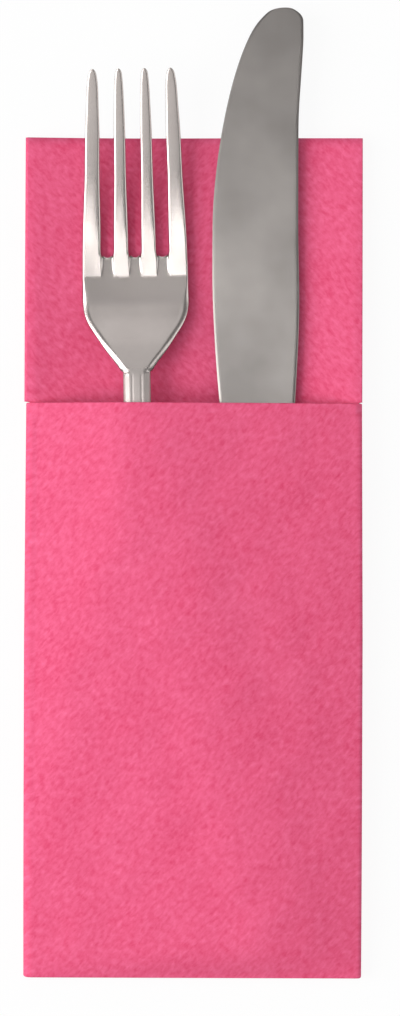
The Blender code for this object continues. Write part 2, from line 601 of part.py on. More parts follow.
def build_napkin(paper):
    """The sheet's length profile carried along its path across the packet, with the front panel drawn over
    the cutlery."""
    left = -PACKET_WIDTH / 2 + 5.5 * PITCH + PAPER_THICKNESS / 2
    right = PACKET_WIDTH / 2 - 2.5 * PITCH - PAPER_THICKNESS / 2
    columns = np.linspace(left, right, FRONT_COLUMNS + 1)
    fold_end = BOTTOM + PITCH + PAPER_THICKNESS / 2
    fold_start = MOUTH - PITCH / 2 - PAPER_THICKNESS / 2
    hem_edge = MOUTH - HEM_DEPTH
    low = fold_end + (hem_edge - fold_end) * np.linspace(0, 1, FRONT_ROWS_LOW + 1) ** 1.7
    high = np.linspace(hem_edge, fold_start, FRONT_ROWS_HEM + 1)
    front_rows = np.concatenate([low, high[1:]])
    hem_rows = high[-2::-1]

    above = MOUTH + BACK_SPREAD_LENGTH
    back_rows = above + (TOP - above) * np.linspace(1, 0, BACK_ROWS + 1) ** 1.3
    back_rows = np.concatenate([back_rows, [MOUTH + LAYER_GAP, MOUTH, hem_edge]])

    places, outward = length_profile(back_rows, front_rows, hem_rows)
    path, facing, first = width_path(columns, LAID_HEIGHTS)
    middle = np.zeros((len(places), len(path), 3))
    middle[:, :, 0] = path[:, 0] + places[:, 1:2] * facing[:, 0]
    middle[:, :, 1] = places[:, 0:1]
    middle[:, :, 2] = path[:, 1] + places[:, 1:2] * facing[:, 1]
    pull = MOUTH_PULL_WIDTH * np.clip((places[:, 0:1] - hem_edge) / HEM_DEPTH, 0, 1)
    reach = np.clip((np.abs(middle[:, :, 0]) - right) / MOUTH_PULL_REACH + 1, 0, 1)
    middle[:, :, 0] -= pull * reach * np.sign(middle[:, :, 0])
    settled_left = -PACKET_WIDTH / 2 - BACK_SPREAD_WIDTH + 1.5 * PITCH + PAPER_THICKNESS / 2
    settled_right = PACKET_WIDTH / 2 - BACK_SETBACK - 0.5 * PITCH - PAPER_THICKNESS / 2
    settled = width_path(np.linspace(settled_left, settled_right, FRONT_COLUMNS + 1), SETTLED_HEIGHTS)[0]
    y = back_rows[:, None]
    spread = np.clip((y - MOUTH - LAYER_GAP) / (BACK_SPREAD_LENGTH - LAYER_GAP), 0, 1)
    on_back = middle[: len(back_rows)]
    on_back[:, :, 0] += spread * (settled[:, 0] - on_back[:, :, 0])
    on_back[:, :, 2] += back_sink(y) * (settled[:, 1] - on_back[:, :, 2])
    half = np.zeros_like(middle)
    half[:, :, 0] = outward[:, 1:2] * facing[:, 0]
    half[:, :, 1] = outward[:, 0:1]
    half[:, :, 2] = outward[:, 1:2] * facing[:, 1]
    half *= PAPER_THICKNESS / 2

    rise = drape(columns, front_rows)
    flat_rows = len(back_rows) + FLAT_FOLD_STEPS
    rows = len(front_rows)
    last = slice(first, first + len(columns))
    middle[flat_rows : flat_rows + rows, last, 2] += rise
    over_mouth = slice(flat_rows + rows, flat_rows + rows + MOUTH_FOLD_STEPS)
    middle[over_mouth, last, 2] += rise[-1]
    middle[flat_rows + rows + MOUTH_FOLD_STEPS :, last, 2] += rise[-2 : -2 - len(hem_rows) : -1]
    return thicken(
        "napkin", middle.reshape(-1, 3), half.reshape(-1, 3), grid_faces(len(places), len(path)), paper
    )


def main():
    """Clears the scene and builds the three pieces."""
    for old in list(bpy.data.objects):
        bpy.data.objects.remove(old)
    paper = finish("airlaid_paper", PINK, 0.0, 0.9)
    steel = finish("stainless_steel", STEEL, 1.0, 0.32)
    build_napkin(paper)
    build_fork(steel)
    build_knife(steel)


main()
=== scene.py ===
"""Looks of the cutlery pouch napkin: the folded paper sheet, the table fork and the table knife.

The pieces are worked out in metres in the CAD model's frame: +X across the packet, +Y from the closed bottom
fold to the knife's tip and +Z up from the table.
"""

from __future__ import annotations

import logging
import math
from dataclasses import dataclass, replace
from enum import Enum
from typing import Any

import bpy
import numpy as np
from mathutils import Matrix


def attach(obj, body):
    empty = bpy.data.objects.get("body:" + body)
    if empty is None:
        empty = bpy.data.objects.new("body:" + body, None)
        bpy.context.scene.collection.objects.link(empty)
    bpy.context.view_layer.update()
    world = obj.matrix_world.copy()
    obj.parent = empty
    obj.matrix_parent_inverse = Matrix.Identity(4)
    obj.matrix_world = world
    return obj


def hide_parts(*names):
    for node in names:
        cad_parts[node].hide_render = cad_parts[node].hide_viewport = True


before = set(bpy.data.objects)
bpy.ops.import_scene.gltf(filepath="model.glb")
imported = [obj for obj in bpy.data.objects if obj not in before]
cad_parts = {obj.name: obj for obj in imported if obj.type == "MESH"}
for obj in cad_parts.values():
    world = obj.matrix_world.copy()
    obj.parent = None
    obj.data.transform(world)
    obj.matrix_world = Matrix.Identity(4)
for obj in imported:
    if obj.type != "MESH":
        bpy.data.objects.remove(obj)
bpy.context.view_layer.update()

Array = np.ndarray
Colour = tuple[float, float, float, float]
Table = tuple[tuple[float, float], ...]
Run = tuple[Array, Array]
log = logging.getLogger("cutlery_pouch")

BOTTOM, MOUTH, TOP = -0.1175, 0.0218, 0.0862  # bottom fold, pocket's mouth and cut top edge, along Y
POCKET_FLOOR = 0.00388
SEAT_GAP = 0.0003
END_ROWS, END_TURN, END_POWER = 18, 0.03, 2.4  # a handle's round end: its rows, first angle and superellipse

# Outlines: pairs of a share of the length and a share of the size there
HANDLE_SIDE: Table = ((0.0, 0.90), (0.11, 1.0), (0.45, 0.70))
BOWL_SIDE: Table = ((0.048, 0.13), (0.171, 0.41), (0.305, 0.68), (0.40, 0.86), (0.505, 0.97), (0.667, 1.0))
HANDLE_ARCH: Table = ((0.0, 0.05), (0.20, 0.14), (0.55, 0.58), (0.88, 1.0))
BOWL_ARCH: Table = ((0.20, 0.66), (0.52, 0.13))
TINE_RISE: Table = ((0.0, 0.0), (0.20, 0.065), (0.52, 0.295), (1.0, 1.0))
TINE_SIDE: Table = ((0.0, 1.0), (0.13, 0.98), (0.39, 0.84), (0.68, 0.77), (0.85, 0.65), (0.94, 0.54))
GRIP_SIDE: Table = ((0.0, 0.92), (0.10, 1.0), (0.55, 0.83))
GRIP_DEPTH: Table = ((0.0, 0.60), (0.12, 0.88), (0.40, 1.0))
EDGE_AT_TIP: Table = ((0.030, -0.475), (0.071, -0.31), (0.131, -0.135), (0.183, 0.02), (0.272, 0.26))
EDGE_BELLY: Table = ((0.373, 0.51), (0.458, 0.70), (0.557, 0.885), (0.663, 0.995), (0.735, 1.0))
EDGE_HEEL: Table = ((0.819, 0.89), (0.883, 0.69), (0.949, 0.36), (1.0, 0.0))
BACK_AT_TIP: Table = ((0.030, 0.78), (0.071, 0.90), (0.115, 1.025), (0.165, 1.10), (0.240, 1.104))
BACK_MIDDLE: Table = ((0.373, 1.05), (0.487, 0.985), (0.663, 0.975), (0.775, 1.0))
BACK_HEEL: Table = ((0.883, 0.78), (0.949, 0.48), (1.0, 0.0))


# Surfaces


class Profile:
    """A size that changes smoothly along a piece.

    It is a cubic spline through (place, value) points. Its slopes solve the equations of a steady bend at
    each point. They are then held to three times the smaller of the two chords beside the point, and to
    nought where the chords turn, so that the curve never swings beyond its points.
    """

    def __init__(self, *points: tuple[float, float]) -> None:
        """Solves the spline's slopes.

        Args:
            points: places in rising order, each with its value.
        """
        self.place, self.value = np.array(points, float).T
        gap = np.diff(self.place)
        rate = np.diff(self.value) / gap
        count = len(self.place)
        system, wanted = np.zeros((count, count)), np.zeros(count)
        system[0, :2], system[-1, -2:] = (2, 1), (1, 2)
        wanted[0], wanted[-1] = 3 * rate[0], 3 * rate[-1]
        k = np.arange(1, count - 1)
        system[k, k - 1] = 1 / gap[:-1]
        system[k, k] = 2 / gap[:-1] + 2 / gap[1:]
        system[k, k + 1] = 1 / gap[1:]
        wanted[k] = 3 * (rate[:-1] / gap[:-1] + rate[1:] / gap[1:])
        before, after = np.append(rate[0], rate), np.append(rate, rate[-1])
        limit = np.where(before * after > 0, 3 * np.minimum(np.abs(before), np.abs(after)), 0)
        self.slope = np.clip(np.linalg.solve(system, wanted), -limit, limit)

    def __call__(self, at: Array) -> Array:
        """Value at each place: the cubic with the given values and slopes at both ends of its stretch.

        Args:
            at: places, which are held to the profile's own range.

        Returns:
            The values, in the shape of the places.
        """
        at = np.clip(at, self.place[0], self.place[-1])
        k = np.clip(np.searchsorted(self.place, at) - 1, 0, len(self.place) - 2)
        span = self.place[k + 1] - self.place[k]
        t = (at - self.place[k]) / span
        rest = 1 - t
        return (
            self.value[k] * rest * rest * (1 + 2 * t)
            + self.slope[k] * span * t * rest * rest
            + self.value[k + 1] * t * t * (3 - 2 * t)
            - self.slope[k + 1] * span * t * t * rest
        )


def smooth_step(low: float, high: float, at: Array) -> Array:
    """Rise from 0 at low to 1 at high along the curve 3t² - 2t³, level at both ends."""
    t = np.clip((at - low) / (high - low), 0, 1)
    return t * t * (3 - 2 * t)


def rounded(depth: Array, radius: float, power: float | Array, flat: float = 0.0) -> Array:
    """Share at a depth inside an edge: flat + (1 - flat) (1 - (1 - depth/radius)^power)^(1/power)."""
    left = 1 - np.clip(depth / radius, 0, 1)
    return flat + (1 - flat) * (1 - left**power) ** (1 / power)


def shares(table: Table, start: float, length: float, base: float, reach: float) -> list[tuple[float, float]]:
    """Profile points from shares: start + share * length along, and base + share * reach across."""
    return [(start + along * length, base + across * reach) for along, across in table]


def end_rows(radius: float) -> Array:
    """Distances of the rows on a handle's round end, closer together towards the end."""
    return radius * (1 - np.cos(np.linspace(END_TURN, np.pi / 2, END_ROWS)))


def end_share(s: Array, radius: float) -> Array:
    """Share of a handle's width at distances s from its round end: (1 - (1 - s/radius)^power)^(1/2)."""
    return np.sqrt(1 - np.clip(1 - s / radius, 0, 0.9999) ** END_POWER)


def ripples(x: Array, y: Array, length: float, waves: int, seed: int) -> Array:
    """Gentle unevenness: a mean of sine waves in seeded directions, with wavelengths about the given length.

    Args:
        x: places across.
        y: places along.
        length: the middle wavelength.
        waves: how many waves are added.
        seed: picks the directions, wavelengths and phases.

    Returns:
        Values between about -1 and 1.
    """
    rng = np.random.default_rng(seed)
    turn, start = rng.uniform(0, 2 * np.pi, (2, waves))
    pace = 2 * np.pi / (length * rng.uniform(0.6, 1.7, waves))
    along = x[..., None] * np.cos(turn) + y[..., None] * np.sin(turn)
    return np.sin(along * pace + start).sum(axis=-1) / math.sqrt(waves)


def points(x: Array, y: Array, z: Array) -> Array:
    """Points with the given coordinates, row by row."""
    return np.stack([x, y, z], axis=-1).reshape(-1, 3)


def grid_faces(rows: int, columns: int, first: int = 0) -> Array:
    """Four-sided faces of a grid whose points are stored row by row, beginning with the point `first`."""
    corner = first + (np.arange(rows - 1)[:, None] * columns + np.arange(columns - 1)).ravel()
    return np.stack([corner, corner + 1, corner + columns + 1, corner + columns], axis=1)


def open_edges(faces: Array) -> Array:
    """Edges that only one face has.

    Args:
        faces: the numbers of each face's points.

    Returns:
        The edges, each in the direction in which its face runs along it.
    """
    edges = np.stack([faces, np.roll(faces, -1, axis=1)], axis=2).reshape(-1, 2)
    low, high = np.sort(edges, axis=1).T
    _, where, times = np.unique(low * (faces.max() + 1) + high, return_index=True, return_counts=True)
    return edges[where[times == 1]]


def linked(name: str, data: bpy.types.ID) -> bpy.types.Object:
    """A new object with the given data, linked to the scene.

    Args:
        name: the object's name.
        data: its mesh, lamp or camera.

    Returns:
        The object.
    """
    made = bpy.data.objects.new(name, data)
    bpy.context.scene.collection.objects.link(made)
    return made


def closed_skin(name: str, upper: Array, lower: Array, faces: Array) -> bpy.types.Object:
    """A closed piece between two skins with the same grid, walled along the grid's open edges.

    Args:
        name: the object's name.
        upper: points of the skin that the faces' normals point away from.
        lower: points of the other skin, in the same order.
        faces: the grid's faces.

    Returns:
        The object, at the origin, with its place in its mesh.
    """
    count = len(upper)
    edge = open_edges(faces)
    walls = np.stack([edge[:, 1], edge[:, 0], edge[:, 0] + count, edge[:, 1] + count], axis=1)
    every = np.vstack([faces, faces[:, ::-1] + count, walls])
    mesh = bpy.data.meshes.new(name)
    mesh.from_pydata(np.vstack([upper, lower]).tolist(), [], every.tolist())
    mesh.shade_smooth()
    return linked(name, mesh)


def add_uv(piece: bpy.types.Object, name: str, places: Array) -> None:
    """Gives a two-skinned piece a UV map.

    Args:
        piece: a piece made by closed_skin.
        name: the map's name.
        places: (u, v) of each point of one skin, used for both.
    """
    mesh = piece.data
    corner = np.zeros(len(mesh.loops), np.int32)
    mesh.loops.foreach_get("vertex_index", corner)
    layer = mesh.uv_layers.new(name=name)
    layer.uv.foreach_set("vector", places[corner % len(places)].astype(np.float32).ravel())


# Shader graphs


class Socket:
    """A node's output that takes part in sums and products."""

    def __init__(self, graph: Graph, socket: bpy.types.NodeSocket) -> None:
        """Keeps the graph and the output."""
        self.graph = graph
        self.socket = socket

    def _join(self, operation: str, first: Any, second: Any) -> Socket:
        """Adds the Math node for an operation on two values or outputs."""
        return self.graph.node("ShaderNodeMath", {"operation": operation}, {0: first, 1: second})

    def __add__(self, other: Any) -> Socket:
        """self + other."""
        return self._join("ADD", self, other)

    def __mul__(self, other: Any) -> Socket:
        """self * other."""
        return self._join("MULTIPLY", self, other)

    __radd__ = __add__
    __rmul__ = __mul__


class Graph:
    """Maker of the nodes of one material or world."""

    def __init__(self, owner: bpy.types.Material | bpy.types.World) -> None:
        """Empties the owner's node tree.

        Args:
            owner: the material or world that the graph belongs to.
        """
        owner.use_nodes = True
        self.tree = owner.node_tree
        self.tree.nodes.clear()

    def node(
        self,
        kind: str,
        settings: dict[str, Any] | None = None,
        sockets: dict[str | int, Any] | None = None,
        output: str | int = 0,
    ) -> Socket:
        """Adds one node.

        Args:
            kind: the node's type.
            settings: the node's own settings, set first; "stops" places a ramp's black and white stops.
            sockets: values or outputs for its inputs, by name or number.
            output: which of its outputs is given back.

        Returns:
            The chosen output.
        """
        made = self.tree.nodes.new(kind)
        for name, value in (settings or {}).items():
            if name == "stops":
                for element, place in zip(made.color_ramp.elements, value):
                    element.position = place
            else:
                setattr(made, name, value)
        for key, value in (sockets or {}).items():
            if isinstance(value, Socket):
                self.tree.links.new(value.socket, made.inputs[key])
            else:
                made.inputs[key].default_value = value
        return Socket(self, made.outputs[output] if len(made.outputs) else None)

    def mix(self, factor: Any, first: Any, second: Any) -> Socket:
        """Blend from the first colour to the second by a factor."""
        return self.node("ShaderNodeMix", {"data_type": "RGBA"}, {0: factor, 6: first, 7: second}, 2)

    def noise(self, vector: Socket, scale: float, detail: float, rough: float, bent: float = 0.0) -> Socket:
        """A cloudy pattern over a vector, its value between 0 and 1."""
        values = {"Vector": vector, "Scale": scale, "Detail": detail, "Roughness": rough, "Distortion": bent}
        return self.node("ShaderNodeTexNoise", sockets=values)

    def ramp(self, stops: tuple[float, float], factor: Socket) -> Socket:
        """A factor's rise from 0 at the first stop to 1 at the second."""
        return self.node("ShaderNodeValToRGB", {"stops": stops}, {0: factor})

    def finish(self, shader: Socket, output: str = "ShaderNodeOutputMaterial") -> None:
        """Adds the output node and links the shader to it."""
        self.node(output, sockets={"Surface": shader})


# Finishes


@dataclass(frozen=True)
class PaperFinish:
    """Soft airlaid paper, dyed through: matt, with a mottled, slightly fibrous surface.

    The pattern follows the flat sheet, through the UV map in metres.
    """

    name: str = "airlaid_paper"
    deep: Colour = (0.775, 0.055, 0.154, 1.0)
    pale: Colour = (0.985, 0.182, 0.352, 1.0)
    blob_size: float = 0.0016
    blob_share: float = 0.42
    fibre_size: float = 0.0008
    fibre_stretch: float = 2.6
    fibre_turn: float = math.radians(-42)
    cloud_scale: float = 70.0
    cloud_share: float = 0.15
    colour_stops: tuple[float, float] = (0.30, 0.70)
    bump_strength: float = 0.85
    bump_height: float = 0.00009
    roughness: float = 0.88
    specular: float = 0.25

    def material(self, uv_map: str) -> bpy.types.Material:
        """Builds the paper.

        Args:
            uv_map: the UV map that holds the flat sheet's places.

        Returns:
            The material.
        """
        material = bpy.data.materials.new(self.name)
        graph = Graph(material)
        flat = graph.node("ShaderNodeUVMap", {"uv_map": uv_map})
        size = (self.fibre_size, self.fibre_size * self.fibre_stretch, 1.0)
        turned = graph.node(
            "ShaderNodeMapping",
            {"vector_type": "TEXTURE"},
            {"Vector": flat, "Rotation": (0.0, 0.0, self.fibre_turn), "Scale": size},
        )
        blobs = graph.noise(flat, 1 / self.blob_size, 3.0, 0.55)
        fibres = graph.noise(turned, 1.0, 4.0, 0.6, 0.4)
        clouds = graph.noise(flat, self.cloud_scale, 2.0, 0.5)
        grain = blobs * self.blob_share + fibres * (1 - self.blob_share)
        spread = graph.ramp(self.colour_stops, grain * (1 - self.cloud_share) + clouds * self.cloud_share)
        heights = {"Height": grain, "Strength": self.bump_strength, "Distance": self.bump_height}
        shader = graph.node(
            "ShaderNodeBsdfPrincipled",
            sockets={
                "Base Color": graph.mix(spread, self.deep, self.pale),
                "Roughness": self.roughness,
                "Specular IOR Level": self.specular,
                "Normal": graph.node("ShaderNodeBump", sockets=heights),
            },
        )
        graph.finish(shader)
        return material


class Polish(Enum):
    """How far a steel surface is polished: its roughness, and the depth of its brushing in metres."""

    SATIN = (0.25, 0.0000035)
    BRUSHED = (0.30, 0.0000060)


@dataclass(frozen=True)
class SteelFinish:
    """Stainless steel with fine brushing along the piece and faint clouds, rougher below a place along Y."""

    name: str
    polish: Polish
    colour: Colour = (0.585, 0.53, 0.505, 1.0)
    clouded: Colour = (0.555, 0.50, 0.475, 1.0)
    line_width: float = 0.00022
    line_length: float = 0.012
    line_roughness: float = 0.06
    cloud_size: float = 0.009
    cloud_roughness: float = 0.05
    cloud_stops: tuple[float, float] = (0.33, 0.67)
    bump_strength: float = 0.5
    matt_below: float = -1.0
    matt_fade: float = 0.003
    matt_roughness: float = 0.24

    def material(self) -> bpy.types.Material:
        """Builds the steel, patterned by its object coordinates.

        Returns:
            The material.
        """
        roughness, depth = self.polish.value
        material = bpy.data.materials.new(self.name)
        graph = Graph(material)
        place = graph.node("ShaderNodeTexCoord", output="Object")
        scale = (1 / self.line_width, 1 / self.line_length, 1 / self.line_width)
        drawn = graph.node("ShaderNodeMapping", sockets={"Vector": place, "Scale": scale})
        lines = graph.noise(drawn, 1.0, 3.0, 0.6)
        clouds = graph.noise(place, 1 / self.cloud_size, 3.0, 0.55)
        spread = graph.ramp(self.cloud_stops, clouds)
        along = graph.node("ShaderNodeSeparateXYZ", output="Y", sockets={"Vector": place})
        matt = graph.ramp((0.0, 1.0), along * (-1 / self.matt_fade) + self.matt_below / self.matt_fade)
        varied = lines * self.line_roughness + clouds * self.cloud_roughness + matt * self.matt_roughness
        heights = {"Height": lines, "Strength": self.bump_strength, "Distance": depth}
        shader = graph.node(
            "ShaderNodeBsdfPrincipled",
            sockets={
                "Base Color": graph.mix(spread, self.colour, self.clouded),
                "Metallic": 1.0,
                "Roughness": varied + (roughness - (self.line_roughness + self.cloud_roughness) / 2),
                "Normal": graph.node("ShaderNodeBump", sockets=heights),
            },
        )
        graph.finish(shader)
        return material


# Cutlery


@dataclass(frozen=True)
class Placement:
    """Where a piece of cutlery lies: its handle's end, its turn about +Z and the tilt that sinks its head."""

    x: float
    y: float
    z: float
    lean: float = 0.0
    tilt: float = 0.0

    def apply(self, points: Array) -> Array:
        """Points of the piece's own frame, tilted about X, turned about Z and moved to their place.

        Args:
            points: an array whose last axis is (across, along, up).

        Returns:
            The points in the model's frame.
        """
        across, along, up = np.moveaxis(points, -1, 0)
        y = along * math.cos(self.tilt) + up * math.sin(self.tilt)
        z = up * math.cos(self.tilt) - along * math.sin(self.tilt)
        x = across * math.cos(self.lean) - y * math.sin(self.lean)
        y = across * math.sin(self.lean) + y * math.cos(self.lean)
        return np.stack([x + self.x, y + self.y, z + self.z], axis=-1)

    def locate(self, x: Array, y: Array) -> tuple[Array, Array]:
        """Places across and along the piece under the given places of the model.

        Args:
            x: places across the packet.
            y: places along the packet.

        Returns:
            The places across and along.
        """
        dx, dy = x - self.x, y - self.y
        turned_x = dx * math.cos(self.lean) + dy * math.sin(self.lean)
        turned_y = dy * math.cos(self.lean) - dx * math.sin(self.lean)
        return turned_x, turned_y


@dataclass
class Fork:
    """Table fork with four tines, arched from the handle's end to the neck and dished in its bowl."""

    place: Placement
    handle_length: float = 0.1345
    bowl_length: float = 0.0295
    tine_length: float = 0.0434
    end_width: float = 0.0200
    neck_width: float = 0.0066
    shoulder_depth: float = 0.00035
    bowl_width: float = 0.0258
    slot_width: float = 0.0031
    run_out_length: float = 0.0047
    run_out_depth: float = 0.00035
    inner_tine_width: float = 0.0036
    outer_tine_width: float = 0.0045
    tip_spacing: float = 0.00625
    tip_width: float = 0.0014
    tip_power: float = 2.2
    tip_share: float = 0.9
    tip_rim: float = 0.0001
    thickness: float = 0.0020
    neck_thickness: float = 0.0028
    tip_thickness: float = 0.0011
    arch_height: float = 0.0065
    tip_height: float = 0.0075
    dish_depth: float = 0.0007
    groove_depth: float = 0.00014
    groove_spacing: float = 1 / 3
    edge_radius: float = 0.0015
    edge_power: float = 1.4
    edge_flat: float = 0.25
    tine_edge_radius: float = 0.00035
    neck_crown: float = 0.00015
    tine_crown: float = 0.18
    crown_start: float = 0.2
    tine_columns: int = 13
    slot_columns: int = 9
    handle_rows: int = 52
    bowl_rows: int = 40
    run_out_rows: int = 14
    shoulder_rows: tuple[float, ...] = (0.0015, 0.0012, 0.0009, 0.0006, 0.0003, 0.00001)
    tine_rows: int = 60
    groove_start: tuple[float, float] = (0.12, 0.3)
    groove_end: tuple[float, float] = (0.0012, 0.0002)
    neck_fade: tuple[float, float] = (0.004, 0.008)
    tine_fade: tuple[float, float] = (0.007, 0.001)
    slot_fade: tuple[float, float] = (0.75, 1.05)

    def __post_init__(self) -> None:
        """Works out the places and profiles that follow from the sizes."""
        handle, bowl = self.handle_length, self.bowl_length
        self.root = handle + bowl
        self.length = self.root + self.tine_length
        self.crease = self.root - self.slot_width / 2 - self.run_out_length
        outer, inner = self.outer_tine_width, self.inner_tine_width
        self.tine_widths = (outer, inner, inner, outer)
        self.root_width = sum(self.tine_widths) + 3 * self.slot_width
        end, neck, side = self.end_width / 2, self.neck_width / 2, self.bowl_width / 2
        grip = shares(HANDLE_SIDE, 0.0, handle, 0.0, end)
        self.handle_side = Profile(*grip, (0.80 * handle, neck * 1.08), (handle, neck))
        self.bowl_side = Profile(
            (handle, neck + self.shoulder_depth),
            *shares(BOWL_SIDE, handle, bowl, neck, side - neck),
            (self.root, self.root_width / 2),
        )
        low, arch, rise = self.thickness / 2, self.arch_height, self.length - self.crease
        self.down = Profile(
            *shares(HANDLE_ARCH, 0.0, handle, low, arch),
            *shares(BOWL_ARCH, handle, bowl, low, arch),
            (self.crease - 0.004, low + 0.050 * arch),
            (self.crease, low),
        )
        self.up = Profile(*shares(TINE_RISE, self.crease, rise, low, self.tip_height))
        self.depth = Profile(
            (0.0, self.thickness * 0.9),
            (0.45 * handle, self.thickness * 1.15),
            (0.92 * handle, self.neck_thickness),
            (handle + 0.35 * bowl, self.thickness),
            (self.root, self.thickness * 0.95),
            (self.length, self.tip_thickness),
        )
        self.dish = Profile(
            (0.0, 0.0),
            (handle, 0.0),
            (handle + 0.5 * bowl, self.dish_depth),
            (self.root, 0.6 * self.dish_depth),
            (self.length, 0.0),
        )

    def half_width(self, s: Array) -> Array:
        """Half the width of the handle, with its round end, and of the bowl."""
        handle = self.handle_side(s) * end_share(s, self.end_width / 2)
        return np.where(s < self.handle_length, handle, self.bowl_side(s))

    def middle(self, s: Array, across: Array) -> Array:
        """Height of the middle surface: the arch or the tines' rise, plus the dish, growing as across²."""
        line = np.where(s < self.crease, self.down(s), self.up(s))
        return line + self.dish(s) * (across / (self.bowl_width / 2)) ** 2

    def grooves(self, s: Array, share: Array) -> Array:
        """Depth of the two grooves on each side of the middle rib, which end at the shoulder.

        Args:
            s: distances from the handle's end.
            share: places across, as shares of the half width.

        Returns:
            The depths: squared cosine waves across the neck.
        """
        (start, full), (fall, end) = self.groove_start, self.groove_end
        fade = smooth_step(start * self.handle_length, full * self.handle_length, s)
        fade *= 1 - smooth_step(self.handle_length - fall, self.handle_length - end, s)
        inside = (np.abs(share) > self.groove_spacing / 2) & (np.abs(share) < 2.5 * self.groove_spacing)
        wave = 0.5 + 0.5 * np.cos(2 * np.pi * share / self.groove_spacing)
        return self.groove_depth / 2 * fade * inside * wave**2

    def top(self, x: Array, y: Array) -> Array:
        """Height of the handle's upper side above the pocket's floor, and nought beside the fork.

        Args:
            x: places across the packet.
            y: places along the packet.

        Returns:
            The heights.
        """
        across, s = self.place.locate(x, y)
        on = (s >= 0) & (s <= self.root) & (np.abs(across) <= self.half_width(s))
        height = self.middle(s, across) + self.depth(s) / 2 - s * math.sin(self.place.tilt)
        return np.where(on, height + self.place.z - POCKET_FLOOR, 0.0)

    def _root_line(self) -> tuple[Array, Array, Array, list[int]]:
        """Points across the fork at the slots' ends, where a slot's are on its half round.

        Returns:
            Their places across, how far each lies before the root, the places of the slots' middles and the
            number of each tine's first point.
        """
        turn = np.linspace(np.pi, 0, self.slot_columns + 2)[1:-1]
        wave = (1 - np.cos(np.linspace(0, np.pi, self.tine_columns))) / 2
        across, drop, centres, starts = [], [], [], []
        left, count, radius = -self.root_width / 2, 0, self.slot_width / 2
        for number, width in enumerate(self.tine_widths):
            if number:
                across.append(left + radius + radius * np.cos(turn))
                drop.append(radius * np.sin(turn))
                centres.append(left + radius)
                left += self.slot_width
                count += self.slot_columns
            starts.append(count)
            across.append(left + width * wave)
            drop.append(np.zeros(self.tine_columns))
            left += width
            count += self.tine_columns
        return np.concatenate(across), np.concatenate(drop), np.array(centres), starts

    def _rows(self) -> Array:
        """Places of the rows up to the root, closer together where the form turns.

        Returns:
            Their distances from the handle's end.
        """
        end = end_rows(self.end_width / 2)
        shoulder = self.handle_length - np.array(self.shoulder_rows)
        handle = np.linspace(self.end_width / 2, shoulder[0], self.handle_rows)[1:-1]
        bowl = np.linspace(self.handle_length + self.shoulder_depth, self.crease, self.bowl_rows)
        run_out = np.linspace(self.crease, self.root, self.run_out_rows)[1:]
        return np.concatenate([end, handle, shoulder, bowl, run_out])

    def build(self) -> bpy.types.Object:
        """Builds the fork.

        The handle and the bowl are one grid of rows along the fork and lines across it, whose last row is
        bent round the slots' ends. The four tines go on from that row. Both skins lie half the local
        thickness from the middle surface, and the thickness falls off to every edge as a superellipse.

        Returns:
            The fork's object.
        """
        line, drop, centres, starts = self._root_line()
        share = line / line[-1]
        rows = self._rows()
        s = np.repeat(rows[:, None], len(line), axis=1)
        near = np.clip((rows - self.crease) / (self.root - self.crease), 0, 1)[:, None]
        s -= drop * near**2
        x = share * self.half_width(s)
        x[-1] = line
        slope = np.gradient(self.half_width(rows), rows)[:, None]
        to_side = (self.half_width(s) - np.abs(x)) / np.sqrt(1 + np.minimum(slope**2, 4))
        to_slot = np.hypot(x[..., None] - centres, s[..., None] - self.root) - self.slot_width / 2
        depth = np.clip(np.minimum(to_side, to_slot.min(axis=-1)), 0, None)
        before, after = self.tine_fade
        toward_tines = smooth_step(self.crease - before, self.crease + after, s)
        radius = self.edge_radius + (self.tine_edge_radius - self.edge_radius) * toward_tines
        thick = self.depth(s) / 2 * rounded(depth, radius, self.edge_power + toward_tines, self.edge_flat)
        before, after = self.neck_fade
        on_neck = 1 - smooth_step(self.handle_length - before, self.handle_length + after, s)
        thick -= self.grooves(s, share) + self.neck_crown * share**2 * on_neck
        off = np.abs(x[..., None] - centres).min(axis=-1) / (self.slot_width / 2)
        in_slot = 1 - smooth_step(*self.slot_fade, off)
        z = self.middle(s, x)
        level = self.middle(np.full_like(s, self.crease), x)
        fall = self.run_out_depth * np.clip((s - self.crease) / self.run_out_length, 0, 1)
        run_out = (np.where(s > self.crease, z - level, 0.0).clip(0) + fall) * in_slot
        upper, lower = [points(x, s, z + thick - run_out)], [points(x, s, z - thick)]
        faces = [grid_faces(len(rows), len(line))]
        count = x.size
        for number, start in enumerate(starts):
            over, under = self._tine(number, line[start : start + self.tine_columns])
            begin = (len(rows) - 1) * len(line) + start
            last = np.arange(begin, begin + self.tine_columns)
            next_row = count + np.arange(self.tine_columns)
            faces.append(np.stack([last[:-1], last[1:], next_row[1:], next_row[:-1]], axis=1))
            faces.append(grid_faces(self.tine_rows, self.tine_columns, count))
            upper.append(over)
            lower.append(under)
            count += len(over)
        upper, lower = self.place.apply(np.vstack(upper)), self.place.apply(np.vstack(lower))
        return closed_skin("table_fork", upper, lower, np.vstack(faces))

